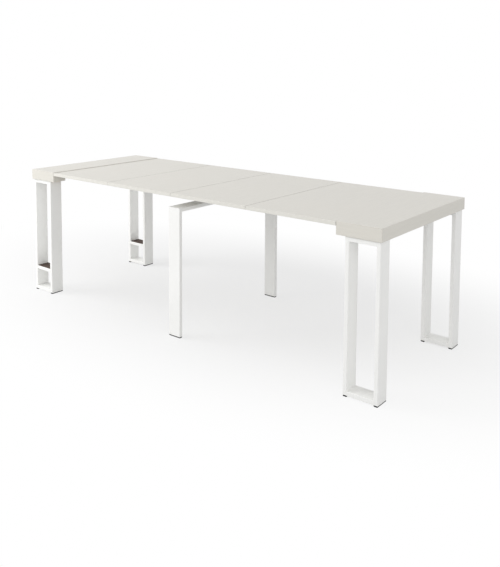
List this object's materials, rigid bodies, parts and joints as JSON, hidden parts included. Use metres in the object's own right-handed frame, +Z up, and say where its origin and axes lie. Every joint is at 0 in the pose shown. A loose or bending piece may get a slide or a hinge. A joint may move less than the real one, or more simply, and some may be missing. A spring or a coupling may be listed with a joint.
{
  "type": "extending console table",
  "caption": "Extending console table with thick end heads on flat tube leg frames, loose leaves on telescopic guides, a centre support frame and a leaf rack in one pair of legs.",
  "frame": {"origin": "on the floor below the middle of the open table", "axes": "+X along the table towards the fixed head, -Y towards the front, +Z up"},
  "size_m": [2.44, 0.88, 0.77],
  "materials": {
    "laminate": "matte laminate, warm light grey white",
    "powder_coat": "white powder coat, satin",
    "foot_plastic": "moulded, dark grey",
    "rack_pad": "matte, dark brown",
    "seat_rubber": "matte, dark grey",
    "guide_aluminium": "extruded, clear anodised",
    "glide_nylon": "moulded, natural",
    "block_wood": "bare board",
    "zinc_steel": "zinc plated",
    "pin_plastic": "moulded"
  },
  "bodies": {
    "fixed_head": {"fixed_head_top": "laminate", "fixed_head_end_apron": "laminate", "fixed_head_front_apron": "laminate", "fixed_head_back_apron": "laminate", "fixed_head_returns": "laminate", "fixed_leg_blocks": "block_wood", "fixed_leg_seats": "seat_rubber", "fixed_near_leg": "powder_coat", "fixed_far_leg": "powder_coat", "fixed_feet": "foot_plastic", "fixed_leg_bolts": "zinc_steel", "fixed_guide_packers": "block_wood", "fixed_guide_bars_1": "guide_aluminium", "fixed_guide_glides_1": "glide_nylon"},
    "sliding_head": {"sliding_head_top": "laminate", "sliding_head_end_apron": "laminate", "sliding_head_front_apron": "laminate", "sliding_head_back_apron": "laminate", "sliding_head_returns": "laminate", "sliding_leg_blocks": "block_wood", "sliding_leg_seats": "seat_rubber", "sliding_near_leg": "powder_coat", "sliding_far_leg": "powder_coat", "sliding_feet": "foot_plastic", "sliding_leg_bolts": "zinc_steel", "sliding_guide_packers": "block_wood", "rack_pads": "rack_pad", "sliding_guide_bars_1": "guide_aluminium", "sliding_guide_glides_1": "glide_nylon"},
    "fixed_stage_2": {"fixed_guide_bars_2": "guide_aluminium", "fixed_guide_glides_2": "glide_nylon"},
    "fixed_stage_3": {"fixed_guide_bars_3": "guide_aluminium", "fixed_guide_glides_3": "glide_nylon"},
    "fixed_stage_4": {"fixed_guide_bars_4": "guide_aluminium", "fixed_guide_glides_4": "glide_nylon"},
    "centre_stage": {"middle_guide_bars": "guide_aluminium", "middle_guide_glides": "glide_nylon", "centre_frame": "powder_coat", "centre_spacers": "guide_aluminium", "centre_bolts": "zinc_steel", "centre_feet": "foot_plastic"},
    "sliding_stage_4": {"sliding_guide_bars_4": "guide_aluminium", "sliding_guide_glides_4": "glide_nylon"},
    "sliding_stage_3": {"sliding_guide_bars_3": "guide_aluminium", "sliding_guide_glides_3": "glide_nylon"},
    "sliding_stage_2": {"sliding_guide_bars_2": "guide_aluminium", "sliding_guide_glides_2": "glide_nylon"},
    "loose_leaf_1": {"leaf_1": "laminate", "leaf_1_pins": "pin_plastic"},
    "loose_leaf_2": {"leaf_2": "laminate", "leaf_2_pins": "pin_plastic"},
    "loose_leaf_3": {"leaf_3": "laminate", "leaf_3_pins": "pin_plastic"},
    "loose_leaf_4": {"leaf_4": "laminate"}
  },
  "joints": [
    {"name": "extension_slide", "type": "slide", "parent": "fixed_head", "child": "sliding_head", "axis": [1, 0, 0], "range_m": [0, 2]},
    {"name": "fixed_stage_2_slide", "type": "slide", "parent": "fixed_head", "child": "fixed_stage_2", "axis": [1, 0, 0], "range_m": [0, 0.24575]},
    {"name": "fixed_stage_3_slide", "type": "slide", "parent": "fixed_stage_2", "child": "fixed_stage_3", "axis": [1, 0, 0], "range_m": [0, 0.24575]},
    {"name": "fixed_stage_4_slide", "type": "slide", "parent": "fixed_stage_3", "child": "fixed_stage_4", "axis": [1, 0, 0], "range_m": [0, 0.24575]},
    {"name": "centre_stage_slide", "type": "slide", "parent": "fixed_stage_4", "child": "centre_stage", "axis": [1, 0, 0], "range_m": [0, 0.24575]},
    {"name": "sliding_stage_4_slide", "type": "slide", "parent": "centre_stage", "child": "sliding_stage_4", "axis": [1, 0, 0], "range_m": [0, 0.25425]},
    {"name": "sliding_stage_3_slide", "type": "slide", "parent": "sliding_stage_4", "child": "sliding_stage_3", "axis": [1, 0, 0], "range_m": [0, 0.25425]},
    {"name": "sliding_stage_2_slide", "type": "slide", "parent": "sliding_stage_3", "child": "sliding_stage_2", "axis": [1, 0, 0], "range_m": [0, 0.25425]},
    {"name": "leaf_1_lift", "type": "slide", "parent": "fixed_head", "child": "loose_leaf_1", "axis": [0, 0, 1], "range_m": [0, 0.4]},
    {"name": "leaf_2_lift", "type": "slide", "parent": "fixed_head", "child": "loose_leaf_2", "axis": [0, 0, 1], "range_m": [0, 0.4]},
    {"name": "leaf_3_lift", "type": "slide", "parent": "fixed_head", "child": "loose_leaf_3", "axis": [0, 0, 1], "range_m": [0, 0.4]},
    {"name": "leaf_4_lift", "type": "slide", "parent": "fixed_head", "child": "loose_leaf_4", "axis": [0, 0, 1], "range_m": [0, 0.4]}
  ],
  "couplings": [
    {"joint": "fixed_stage_2_slide", "follows": "extension_slide", "ratio": 0.12287},
    {"joint": "fixed_stage_3_slide", "follows": "extension_slide", "ratio": 0.12287},
    {"joint": "fixed_stage_4_slide", "follows": "extension_slide", "ratio": 0.12287},
    {"joint": "centre_stage_slide", "follows": "extension_slide", "ratio": 0.12287},
    {"joint": "sliding_stage_4_slide", "follows": "extension_slide", "ratio": 0.12712},
    {"joint": "sliding_stage_3_slide", "follows": "extension_slide", "ratio": 0.12712},
    {"joint": "sliding_stage_2_slide", "follows": "extension_slide", "ratio": 0.12712},
    {"joint": "leaf_1_lift", "follows": "extension_slide", "ratio": 0.2},
    {"joint": "leaf_2_lift", "follows": "extension_slide", "ratio": 0.2},
    {"joint": "leaf_3_lift", "follows": "extension_slide", "ratio": 0.2},
    {"joint": "leaf_4_lift", "follows": "extension_slide", "ratio": 0.2}
  ]
}
